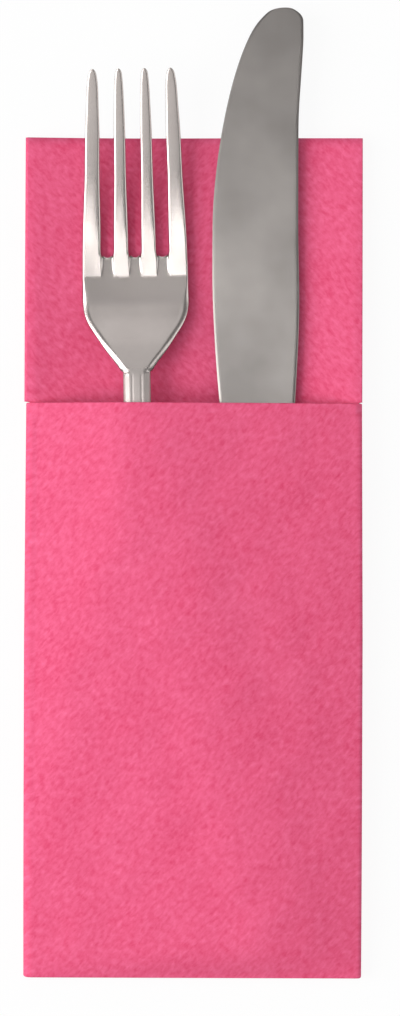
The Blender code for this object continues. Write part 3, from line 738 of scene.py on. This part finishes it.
    def _tine(self, number: int, first_line: Array) -> tuple[Array, Array]:
        """Both skins of one tine, whose width narrows from its root to a round tip.

        Args:
            number: which tine, from the left.
            first_line: places across of its points in the root row.

        Returns:
            The points of the upper and of the lower skin.
        """
        t = np.sin(np.linspace(0, np.pi / 2, self.tine_rows + 1)[1:])
        root_x = first_line.mean()
        tip_x = (number - (len(self.tine_widths) - 1) / 2) * self.tip_spacing
        root_half = self.tine_widths[number] / 2
        narrowing = Profile(*shares(TINE_SIDE, 0.0, 1.0, 0.0, root_half), (1.0, self.tip_width / 2))
        along = self.root + self.tine_length * t
        tip_reach = self.tip_width * self.tip_share
        from_tip = np.clip((along - self.length + tip_reach) / tip_reach, 0, 0.999)
        half = (narrowing(t) * np.sqrt(1 - from_tip**self.tip_power))[:, None]
        sway = (first_line - root_x) / root_half
        x = (root_x + (tip_x - root_x) * t)[:, None] + sway * half
        s = np.repeat(along[:, None], self.tine_columns, axis=1)
        depth = np.minimum(half - np.abs(sway) * half, self.length - s + self.tip_rim)
        edge = np.minimum(self.tine_edge_radius, half)
        crown = 1 - self.tine_crown * smooth_step(0, self.crown_start, t)[:, None] * sway**2
        rim = rounded(np.clip(depth, 0, None) / edge, 1.0, self.edge_power + 1, self.edge_flat)
        thick = self.depth(s) / 2 * crown * rim
        z = self.middle(s, x)
        return points(x, s, z + thick), points(x, s, z - thick)


@dataclass
class Knife:
    """Table knife: a rounded handle that flattens at the bolster into a blade ground to its edge at -X."""

    place: Placement
    handle_length: float = 0.1100
    blade_length: float = 0.1190
    handle_width: float = 0.0190
    bolster_width: float = 0.0125
    handle_thickness: float = 0.0050
    bolster_thickness: float = 0.0044
    spine: float = 0.0020
    spine_tip: float = 0.0011
    edge: float = 0.0003
    edge_side: float = 0.0110
    back_side: float = 0.0100
    ground_share: float = 0.68
    bevel_width: float = 0.0006
    bevel_share: float = 0.42
    tip_place: float = 0.0065
    lines: int = 41
    grip_rows: int = 48
    blade_rows: int = 151
    grip_power: float = 2.6
    back_radius: float = 0.0008
    back_flat: float = 0.3
    tip_radius: float = 0.0005
    tip_flat: float = 0.35

    def __post_init__(self) -> None:
        """Works out the length and the profiles that follow from the sizes."""
        self.length = self.handle_length + self.blade_length
        handle, bolster, length = self.handle_width / 2, self.bolster_width / 2, self.handle_length
        to_edge, to_back = self.edge_side, self.back_side
        self.grip = Profile(*shares(GRIP_SIDE, 0.0, length, 0.0, handle), (length, bolster))
        self.edge_line = Profile(
            (0.0, -self.tip_place),
            *shares(EDGE_AT_TIP + EDGE_BELLY, 0.0, 1.0, 0.0, to_edge),
            *shares(EDGE_HEEL, 0.0, 1.0, bolster, to_edge - bolster),
        )
        self.back_line = Profile(
            (0.0, self.tip_place),
            *shares(BACK_AT_TIP + BACK_MIDDLE, 0.0, 1.0, 0.0, to_back),
            *shares(BACK_HEEL, 0.0, 1.0, bolster, to_back - bolster),
        )
        self.depth = Profile(
            *shares(GRIP_DEPTH, 0.0, length, 0.0, self.handle_thickness),
            (0.90 * length, self.bolster_thickness),
            (length, self.bolster_thickness * 0.86),
            (length + 0.10 * self.blade_length, self.spine),
            (self.length, self.spine_tip),
        )

    def sides(self, s: Array) -> tuple[Array, Array]:
        """Places of the edge's side and of the back's side.

        The blade's outline is a function of w = (1 - b)^(1/2) at the share b of its length, which makes the
        tip round.

        Args:
            s: distances from the handle's end.

        Returns:
            The two sides' places.
        """
        grip = self.grip(s) * end_share(s, self.handle_width / 2)
        along = np.sqrt(np.clip((self.length - s) / self.blade_length, 0, 1))
        on_grip = s < self.handle_length
        left = -np.where(on_grip, grip, self.edge_line(along))
        right = np.where(on_grip, grip, self.back_line(along))
        return left, right

    def section(self, share: Array, s: Array, width: Array) -> Array:
        """Share of the thickness across the knife.

        The handle's is a superellipse. The blade's rises from the edge over a narrow bevel, then along the
        ground wedge, stays level to the back and is rounded there.

        Args:
            share: share of the width, from the edge's side to the back's.
            s: distances from the handle's end.
            width: the width at each distance.

        Returns:
            The shares.
        """
        grip = np.maximum(1 - np.abs(share / 0.5 - 1) ** self.grip_power, 0.0001) ** 0.5
        at_edge = self.edge / self.spine
        inside = share * width
        bevel = at_edge + (self.bevel_share - at_edge) * np.clip(inside / self.bevel_width, 0, 1)
        wedge = self.bevel_share + (1 - self.bevel_share) * share / self.ground_share
        ground = np.minimum(np.minimum(bevel, wedge), 1.0)
        ground = ground * rounded((1 - share) * width, self.back_radius, 2.0, self.back_flat)
        blend = smooth_step(self.handle_length, self.handle_length + 0.10 * self.blade_length, s)
        return grip * (1 - blend) + ground * blend

    def top(self, x: Array, y: Array) -> Array:
        """Height of the upper side above the pocket's floor, and nought beside the knife.

        Args:
            x: places across the packet.
            y: places along the packet.

        Returns:
            The heights.
        """
        across, s = self.place.locate(x, y)
        left, right = self.sides(s)
        width = np.maximum(right - left, self.edge)
        share = np.clip((across - left) / width, 0, 1)
        height = self.handle_thickness / 2 + self.depth(s) / 2 * self.section(share, s, width)
        on = (s >= 0) & (s <= self.length) & (across >= left) & (across <= right)
        return np.where(on, height + self.place.z - POCKET_FLOOR, 0.0)

    def build(self) -> bpy.types.Object:
        """Builds the knife as a grid of rows along it and lines from the cutting edge to the back.

        Returns:
            The knife's object.
        """
        share = (1 - np.cos(np.linspace(0, np.pi, self.lines))) / 2
        grip = np.linspace(self.handle_width / 2, self.handle_length, self.grip_rows)[1:]
        blade = self.blade_length * (1 - np.linspace(1, 0.012, self.blade_rows)[1:] ** 2)
        rows = np.concatenate([end_rows(self.handle_width / 2), grip, self.handle_length + blade])[:, None]
        left, right = self.sides(rows)
        width = right - left
        x = left + width * share
        s = np.repeat(rows, self.lines, axis=1)
        half = self.depth(rows) / 2 * self.section(share, rows, width)
        half *= rounded(np.maximum(self.length - s, 0), self.tip_radius, 2.0, self.tip_flat)
        middle = self.handle_thickness / 2
        upper, lower = (self.place.apply(points(x, s, middle + side)) for side in (half, -half))
        return closed_skin("table_knife", upper, lower, grid_faces(len(rows), self.lines))


# Napkin


def level_run(places: Array, level: float, facing: float) -> Run:
    """Places of a level stretch, and the directions that its outer side faces."""
    return np.stack([places, np.full(len(places), level)], axis=1), np.tile([0.0, facing], (len(places), 1))


def arc_run(centre: tuple[float, float], radius: float, turns: Array, facing: float = 1.0) -> Run:
    """Places of an arc at the given angles, and the directions that its outer side faces."""
    out = np.stack([np.cos(turns), np.sin(turns)], axis=1)
    return np.array(centre) + radius * out, facing * out


@dataclass(frozen=True)
class SideLift:
    """How all the layers stand up off the table beside the cutlery, drawn up by the full pocket."""

    height: float = 0.0026
    reach: tuple[float, float] = (0.0170, 0.0215)
    side: float = 0.0386
    at_end: float = 0.45
    at_middle: float = 0.90
    at_top: float = 0.15
    power: float = 1.6

    def __call__(self, x: Array, y: Array) -> Array:
        """Height times a share along the packet, times ((|x| - side + reach) / reach)^n across it.

        The reach is wider on the right, where the knife lies level.

        Args:
            x: places across.
            y: places along.

        Returns:
            The lift, which is largest at the mouth and nought at the bottom fold.
        """
        along = Profile(
            (BOTTOM, 0.0),
            (BOTTOM + 0.015, self.at_end),
            ((BOTTOM + MOUTH) / 2, self.at_middle),
            (MOUTH, 1.0),
            (TOP, self.at_top),
        )
        across = np.clip((np.abs(x) - self.side) / np.where(x < 0, *self.reach) + 1, 0, 1)
        return self.height * along(y) * across**self.power


@dataclass
class Drape:
    """How the front panel lies over the handles: like taut paper held at its side and bottom folds."""

    fork: Fork
    knife: Knife
    lift: SideLift
    clearance: float = 0.0005
    softness: float = 0.0024
    slopes: int = 361
    steepest: float = 0.9
    ripple_height: float = 0.00012
    ripple_length: float = 0.016
    ripple_waves: int = 9
    ripple_seed: int = 5
    calm_side: float = 0.012
    calm_bottom: float = 0.010
    lip_height: float = 0.0004
    lip_length: float = 0.0040

    def rise(self, columns: Array, rows: Array) -> Array:
        """Rise of the panel over the lifted layers.

        The paper is the lowest surface made of planes that clear the handles. The plane with slopes p and q
        has to lie c(p, q) = max(h - px - qy) up, and the paper at (x, y) is min(c + px + qy). It is then
        blurred a little, since paper bends in a round, and given faint ripples. The springy fold at the mouth
        stands up a little more.

        Args:
            columns: places across, evenly spaced from the left fold to the right one.
            rows: places along, evenly spaced from the bottom fold to the mouth.

        Returns:
            The rise at each row and column.
        """
        x, y = np.meshgrid(columns, rows)
        need = np.maximum(self.fork.top(x, y), self.knife.top(x, y))
        need = np.where(need > 0, need + self.clearance, 0.0)
        need[0] = 0.0
        need[:, [0, -1]] = 0.0
        lift = self.lift(x, y)
        need = np.maximum(need, lift)
        slope = np.linspace(-self.steepest, self.steepest, self.slopes)
        over = (need[:, :, None] - columns[:, None] * slope).max(axis=1)
        plane = (over[:, :, None] - rows[:, None, None] * slope).max(axis=0)
        lowest = (plane[None] + rows[:, None, None] * slope).min(axis=2)
        taut = (lowest[:, None, :] + columns[:, None] * slope).min(axis=2)
        soft = self._blur(taut, columns[1] - columns[0], rows[1] - rows[0])
        inside = smooth_step(0, self.calm_side, x - columns[0])
        inside = inside * smooth_step(0, self.calm_side, columns[-1] - x)
        inside = inside * smooth_step(0, self.calm_bottom, y - rows[0])
        waves = ripples(x, y, self.ripple_length, self.ripple_waves, self.ripple_seed)
        soft = soft + self.ripple_height * inside * waves
        lip = self.lip_height * smooth_step(rows[-1] - self.lip_length, rows[-1], y)
        return np.maximum(soft, lift) - lift + lip

    def _blur(self, height: Array, step_x: float, step_y: float) -> Array:
        """Gaussian blur of a height map whose borders are continued by their point reflection.

        Args:
            height: the map, by row and column.
            step_x: distance from column to column.
            step_y: distance from row to row.

        Returns:
            The blurred map.
        """
        for axis, step in ((0, step_y), (1, step_x)):
            reach = int(math.ceil(3 * self.softness / step))
            weight = np.exp(-0.5 * (np.arange(-reach, reach + 1) * step / self.softness) ** 2)
            weight /= weight.sum()
            pad = [(reach, reach) if a == axis else (0, 0) for a in (0, 1)]
            wide = np.pad(height, pad, mode="reflect", reflect_type="odd")
            height = np.apply_along_axis(np.convolve, axis, wide, weight, "valid")
        return height


@dataclass
class Napkin:
    """The sheet: folded twice across its width and once along its length, with its front edge turned in."""

    width: float = 0.0820
    hem_depth: float = 0.0570
    paper: float = 0.00028
    gap: float = 0.00012
    inner_setback: float = 0.0012
    outer_setback: float = 0.0006
    back_spread: float = 0.0001
    back_setback: float = 0.0003
    spread_length: float = 0.00028
    mouth_pull: float = 0.00035
    pull_reach: float = 0.0140
    sink_power: float = 1.5
    closing: tuple[float, ...] = (0.86, 0.72, 0.58)
    knife_side: tuple[float, float] = (0.004, 0.016)
    knife_side_sink: float = 0.05
    springiness: float = 0.75
    front_columns: int = 100
    front_rows: int = 120
    back_rows: int = 30
    pocket_rows: int = 14
    row_crowding: float = 1.2
    bend_start: float = 0.40
    bend_points: int = 8
    bottom_points: int = 13
    mouth_points: int = 9
    outer_points: int = 18
    right_points: int = 11
    left_points: int = 12
    uv_map: str = "flat_sheet"

    def __post_init__(self) -> None:
        """Works out the pitch of the layers and the heights of the four back layers."""
        self.pitch = self.paper + self.gap
        self.laid = tuple(self.paper / 2 + layer * self.pitch for layer in (2, 3, 8, 9))
        self.settled = tuple(self.paper / 2 + layer * self.pitch for layer in (0, 1, 2, 3))
        start, count = self.bend_start, self.bend_points
        self.bends = np.append(np.linspace(-1, -start, count), np.linspace(start, 1, count))

    def _length_profile(self, back: Array, front: Array, hem: Array) -> tuple[Array, Array, list[int]]:
        """Middle line of the sheet along its length.

        It runs from the cut top edge down the back, round the bottom fold, up the front, round the mouth and
        down the hem. Both folds are half circles.

        Args:
            back: rows of the back, from the top edge.
            front: rows of the front panel, from the bottom fold.
            hem: rows of the hem, from the mouth.

        Returns:
            Places (y, depth towards the front), outward directions, and the numbers of the front panel's
            first and last row and of the hem's first row.
        """
        p = self.pitch
        bottom = arc_run((front[0], p), p, np.linspace(-np.pi / 2, -3 * np.pi / 2, self.bottom_points))
        mouth = arc_run((front[-1], 1.5 * p), p / 2, np.linspace(np.pi / 2, -np.pi / 2, self.mouth_points))
        panel = level_run(front[1:-1], 2 * p, 1.0)
        runs = [level_run(back, 0.0, -1.0), bottom, panel, mouth, level_run(hem, p, -1.0)]
        front_start = len(back) + len(bottom[0]) - 1
        mouth_start = front_start + len(front) - 1
        places, outward = (np.vstack(part) for part in zip(*runs))
        return places, outward, [front_start, mouth_start, mouth_start + len(mouth[0])]

    def _width_path(self, columns: Array, heights: tuple[float, ...]) -> tuple[Array, Array, int]:
        """Middle line of the back layer across the packet, through its four quarters.

        Args:
            columns: places across of the front quarter, from the left fold to the right one.
            heights: heights of the quarters' back layers, from the table up.

        Returns:
            Places (x, z), the directions in which the sheet's front side faces, and the number of the front
            quarter's first point.
        """
        fourth_z, third_z, second_z, front_z = heights
        left, right = columns[0], columns[-1]
        edges = self.width / 2 - self.outer_setback, self.width / 2 - self.inner_setback

        def flat(start: float, end: float, z: float, facing: float) -> Run:
            """A level stretch with its points near its ends, where the sides are lifted."""
            return level_run((start + end) / 2 + (end - start) / 2 * self.bends, z, facing)

        def fold(x: float, low: float, high: float, turns: Array, facing: float) -> Run:
            """A half circle from one height to another, without its two ends."""
            return arc_run((x, (low + high) / 2), (high - low) / 2, turns[1:-1], facing)

        right_turns = np.linspace(np.pi / 2, -np.pi / 2, self.right_points)
        runs = [
            flat(edges[0], left, fourth_z, -1.0),
            fold(left, fourth_z, front_z, np.linspace(-np.pi / 2, -3 * np.pi / 2, self.outer_points), 1.0),
            level_run(columns, front_z, 1.0),
            fold(right, second_z, front_z, right_turns, 1.0),
            flat(right, left, second_z, -1.0),
            fold(left, third_z, second_z, np.linspace(np.pi / 2, 3 * np.pi / 2, self.left_points), -1.0),
            flat(left, edges[1], third_z, 1.0),
        ]
        places, facings = (np.vstack(part) for part in zip(*runs))
        return places, facings, len(runs[0][0]) + len(runs[1][0])

    def build(self, drape: Drape) -> bpy.types.Object:
        """Builds the sheet as one closed skin.

        The length profile is carried along the path across the packet, standing off it to the side that the
        sheet's front faces. Above the mouth the back layers spread and sink onto each other, less so at the
        springy side folds. All layers are lifted at the sides, and the front quarter's two layers are raised
        by the drape.

        Args:
            drape: how the front panel lies over the handles.

        Returns:
            The sheet's object, with a UV map of the flat sheet in metres.
        """
        p, paper = self.pitch, self.paper
        # A side fold's middle line lies its radius, two layers and half the paper inside the packet's edge
        left = -self.width / 2 + (3.5 + 2) * p + paper / 2
        right = self.width / 2 - (0.5 + 2) * p - paper / 2
        columns = np.linspace(left, right, self.front_columns + 1)
        front = np.linspace(BOTTOM + p + paper / 2, MOUTH - p / 2 - paper / 2, self.front_rows + 1)
        hem_edge = MOUTH - self.hem_depth
        hem = front[front > hem_edge][-2::-1]
        above = MOUTH + self.spread_length
        back = above + (TOP - above) * np.linspace(1, 0, self.back_rows + 1) ** self.row_crowding
        close = MOUTH + np.array(self.closing) * self.spread_length
        floor = np.linspace(MOUTH, front[0], self.pocket_rows + 1)[:-1]
        back = np.concatenate([back, close, [MOUTH + self.gap], floor])
        rows, outward, marks = self._length_profile(back, front, hem)
        path, facing, first = self._width_path(columns, self.laid)

        def carry(run: Array, along: Array | float) -> Array:
            """A run of the length profile, carried along a path across the packet.

            Args:
                run: the run's places or directions.
                along: places of the path, or nought for directions.

            Returns:
                The points or directions, by row and place on the path.
            """
            carried = np.zeros((len(run), len(facing), 3))
            carried[:, :, 1] = run[:, 0:1]
            carried[:, :, ::2] = along + run[:, 1:2, None] * facing
            return carried

        middle = carry(rows, path)
        pull = self.mouth_pull * np.clip((rows[:, 0:1] - hem_edge) / self.hem_depth, 0, 1)
        reach = np.clip((np.abs(middle[:, :, 0]) - right) / self.pull_reach + 1, 0, 1)
        middle[:, :, 0] -= pull * reach * np.sign(middle[:, :, 0])
        self._settle(middle[: len(back)], back)
        middle[:, :, 2] += drape.lift(middle[:, :, 0], middle[:, :, 1])

        rise = drape.rise(columns, front)
        quarter = slice(first, first + len(columns))
        front_start, mouth_start, hem_start = marks
        middle[front_start : mouth_start + 1, quarter, 2] += rise
        middle[mouth_start + 1 : hem_start, quarter, 2] += rise[-1]
        middle[hem_start:, quarter, 2] += rise[-2 : -2 - len(hem) : -1]

        half = carry(outward, 0.0) * paper / 2
        upper, lower = (middle + half).reshape(-1, 3), (middle - half).reshape(-1, 3)
        piece = closed_skin("folded_sheet", upper, lower, grid_faces(len(rows), len(path)))
        across = np.append(0, np.cumsum(np.hypot(*np.diff(path, axis=0).T)))
        along = np.append(0, np.cumsum(np.hypot(*np.diff(rows, axis=0).T)))
        flat_u, flat_v = np.meshgrid(across, along)
        add_uv(piece, self.uv_map, np.stack([flat_u, flat_v], axis=-1).reshape(-1, 2))
        return piece

    def _settle(self, back: Array, rows: Array) -> None:
        """Spreads and sinks the back layers above the mouth, in place.

        The sideways places go over to those of the settled path within the spread's length. The heights go
        over as ((y - mouth) / (top - mouth))^n, times 1 - k u² at the share u of the half width. Under the
        blade, which lies level, they sink less.

        Args:
            back: points of the back, by row and place on the path.
            rows: the rows' places along the packet.
        """
        p, paper = self.pitch, self.paper
        left = -self.width / 2 - self.back_spread + 1.5 * p + paper / 2
        right = self.width / 2 - self.back_setback - 0.5 * p - paper / 2
        settled = self._width_path(np.linspace(left, right, self.front_columns + 1), self.settled)[0]
        spread = np.clip((rows - MOUTH - self.gap) / (self.spread_length - self.gap), 0, 1)[:, None]
        sink = np.clip((rows - MOUTH) / (TOP - MOUTH), 0, 1)[:, None] ** self.sink_power
        back[:, :, 0] += spread * (settled[:, 0] - back[:, :, 0])
        share = np.clip(np.abs(back[:, :, 0]) / (self.width / 2), 0, 1)
        right_part = smooth_step(*self.knife_side, back[:, :, 0])
        sink = sink * (1 - self.springiness * share**2) * (1 - (1 - self.knife_side_sink) * right_part)
        back[:, :, 2] += sink * (settled[:, 1] - back[:, :, 2])


# Studio

WHITE: Colour = (1.0, 1.0, 1.0, 1.0)
SEEN_WHITE = ("Camera", "Glossy", "Transmission")


@dataclass(frozen=True)
class SoftBox:
    """A rectangular studio lamp that looks at its aim, which is the middle of the model if none is given."""

    name: str
    at: tuple[float, float, float]
    size: tuple[float, float]
    radiance: float
    aim: tuple[float, float, float] = (0.0, 0.0, 0.0)

    def place(self) -> None:
        """Adds the lamp, with the power that gives its face the stated radiance: pi times area times it."""
        lamp = bpy.data.lights.new(self.name, "AREA")
        lamp.shape = "RECTANGLE"
        lamp.size, lamp.size_y = self.size
        lamp.energy = math.pi * self.size[0] * self.size[1] * self.radiance
        holder = linked(self.name, lamp)
        holder.location = self.at
        away = np.array(self.at) - np.array(self.aim)
        flat = math.hypot(away[0], away[1])
        holder.rotation_euler = (math.atan2(flat, away[2]), 0.0, math.atan2(away[0], -away[1]))
        holder.visible_camera = False


@dataclass
class Studio:
    """White table, key light from the left, smaller lamps, a tent that the steel mirrors, and the camera.

    The tent is a row of strips across the packet: each has a name, its two places along Y and its radiance.
    """

    sky: float = 0.20
    boxes: tuple[SoftBox, ...] = (
        SoftBox("key_light", (-1.24, -0.12, 1.01), (1.1, 1.3), 4.6),
        SoftBox("left_fill", (-0.56, -0.22, 1.05), (0.42, 1.15), 1.0, (-0.56, -0.22, 0.0)),
        SoftBox("right_rim", (0.88, 0.05, 0.52), (0.45, 0.8), 1.2),
        SoftBox("tine_strip", (-0.085, 0.062, 1.05), (0.43, 0.050), 9.6, (-0.085, 0.062, 0.0)),
        SoftBox("far_side", (0.0, 1.60, 0.80), (1.0, 1.2), 0.68),
    )
    tent: tuple[tuple[str, float, float, float], ...] = (
        ("handle_side", -1.00, -0.15, 0.66),
        ("bowl_strip", 0.125, 0.249, 0.18),
        ("bowl_side", 0.249, 0.427, 0.22),
        ("tip_side", 0.427, 1.07, 0.57),
    )
    tent_height: float = 1.05
    tent_width: float = 0.60
    lens: float = 135.0
    sensor_height: float = 36.0
    view_height: float = 0.2458
    view_plane: float = 0.006
    centre: tuple[float, float] = (0.00153, -0.00356)
    turn: float = math.radians(0.2)
    whiteness: float = 0.93
    table_side: float = 1.5
    table_drop: float = 0.0001
    table_colour: Colour = (0.95, 0.95, 0.95, 1.0)

    def build(self) -> None:
        """Sets up the table, the world, the lamps and the camera."""
        self._table()
        self._world()
        for box in self.boxes:
            box.place()
        for name, low, high, radiance in self.tent:
            middle = (low + high) / 2
            size = (self.tent_width, high - low)
            SoftBox(name, (0.0, middle, self.tent_height), size, radiance, (0.0, middle, 0.0)).place()
        self._camera()
        bpy.context.scene.view_settings.view_transform = "Standard"

    def _table(self) -> None:
        """A white plane that shows pure white to the camera, to gloss and to glass, and keeps some shadow."""
        side = self.table_side
        corners = np.array([[-side, -side, 0], [side, -side, 0], [side, side, 0], [-side, side, 0]])
        corners[:, 2] = -self.table_drop
        mesh = bpy.data.meshes.new("table")
        mesh.from_pydata(corners.tolist(), [], [[0, 1, 2, 3]])
        table = linked("table", mesh)
        material = bpy.data.materials.new("white_table")
        graph = Graph(material)
        rays = [graph.node("ShaderNodeLightPath", output=f"Is {ray} Ray") for ray in SEEN_WHITE]
        seen = (rays[0] + rays[1] + rays[2]) * self.whiteness
        matt = graph.node("ShaderNodeBsdfDiffuse", sockets={"Color": self.table_colour})
        white = graph.node("ShaderNodeEmission", sockets={"Color": WHITE, "Strength": 1.0})
        both = graph.node("ShaderNodeMixShader", sockets={0: seen, 1: matt, 2: white})
        graph.finish(both)
        mesh.materials.append(material)

    def _world(self) -> None:
        """A plain grey surround that the camera sees as white."""
        world = bpy.data.worlds.new("surround")
        graph = Graph(world)
        seen = graph.node("ShaderNodeLightPath", output="Is Camera Ray")
        sky, white = (
            graph.node("ShaderNodeBackground", sockets={"Color": WHITE, "Strength": strength})
            for strength in (self.sky, 1.0)
        )
        both = graph.node("ShaderNodeMixShader", sockets={0: seen, 1: sky, 2: white})
        graph.finish(both, "ShaderNodeOutputWorld")
        bpy.context.scene.world = world

    def _camera(self) -> None:
        """The camera, straight above, far enough away for the view's height to fill the sensor's."""
        data = bpy.data.cameras.new("camera")
        data.lens = self.lens
        data.sensor_fit = "VERTICAL"
        data.sensor_height = self.sensor_height
        data.clip_start = 0.01
        camera = linked("camera", data)
        distance = self.view_height * self.lens / self.sensor_height
        camera.location = (*self.centre, self.view_plane + distance)
        camera.rotation_euler = (0.0, 0.0, self.turn)
        bpy.context.scene.camera = camera


def dress(piece: bpy.types.Object, material: bpy.types.Material, node: str) -> None:
    """Gives a piece its finish, hangs it under the root body and hides the CAD node that it stands for.

    Args:
        piece: the piece's object.
        material: its finish.
        node: the CAD node that it replaces.
    """
    piece.data.materials.append(material)
    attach(piece, "root")
    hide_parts(node)
    mesh = piece.data
    log.info("%s: %d points, %d faces, for %s", piece.name, len(mesh.vertices), len(mesh.polygons), node)


def back_drop(napkin: Napkin, y: float) -> float:
    """How far the topmost back layer has sunk at y, on the packet's middle line."""
    share = min(max((y - MOUTH) / (TOP - MOUTH), 0.0), 1.0)
    return (napkin.laid[-1] - napkin.settled[-1]) * share**napkin.sink_power


def main() -> None:
    """Builds the studio, the cutlery and the sheet that holds it."""
    logging.basicConfig(level=logging.INFO, format="%(name)s: %(message)s")
    Studio().build()
    napkin = Napkin()
    seat = POCKET_FLOOR + SEAT_GAP
    fork = Fork(Placement(x=-0.0110, y=BOTTOM + 0.0122, z=seat, lean=math.radians(1.2)))
    drop = back_drop(napkin, fork.place.y + fork.crease)
    fork.place = replace(fork.place, tilt=math.asin(drop / fork.crease))
    knife = Knife(Placement(x=0.0159, y=BOTTOM + 0.0060, z=seat, lean=math.radians(0.2)))
    shoulder = fork.place.y + fork.handle_length
    fork_steel = SteelFinish("fork_steel", Polish.SATIN, matt_below=shoulder + 0.001)
    light, dark = (0.347, 0.322, 0.306, 1.0), (0.248, 0.230, 0.219, 1.0)
    blade_steel = SteelFinish("blade_steel", Polish.BRUSHED, light, dark, cloud_size=0.026)
    dress(fork.build(), fork_steel.material(), "fork")
    dress(knife.build(), blade_steel.material(), "knife")
    sheet = napkin.build(Drape(fork, knife, SideLift()))
    dress(sheet, PaperFinish().material(napkin.uv_map), "napkin")


if __name__ == "__main__":
    main()
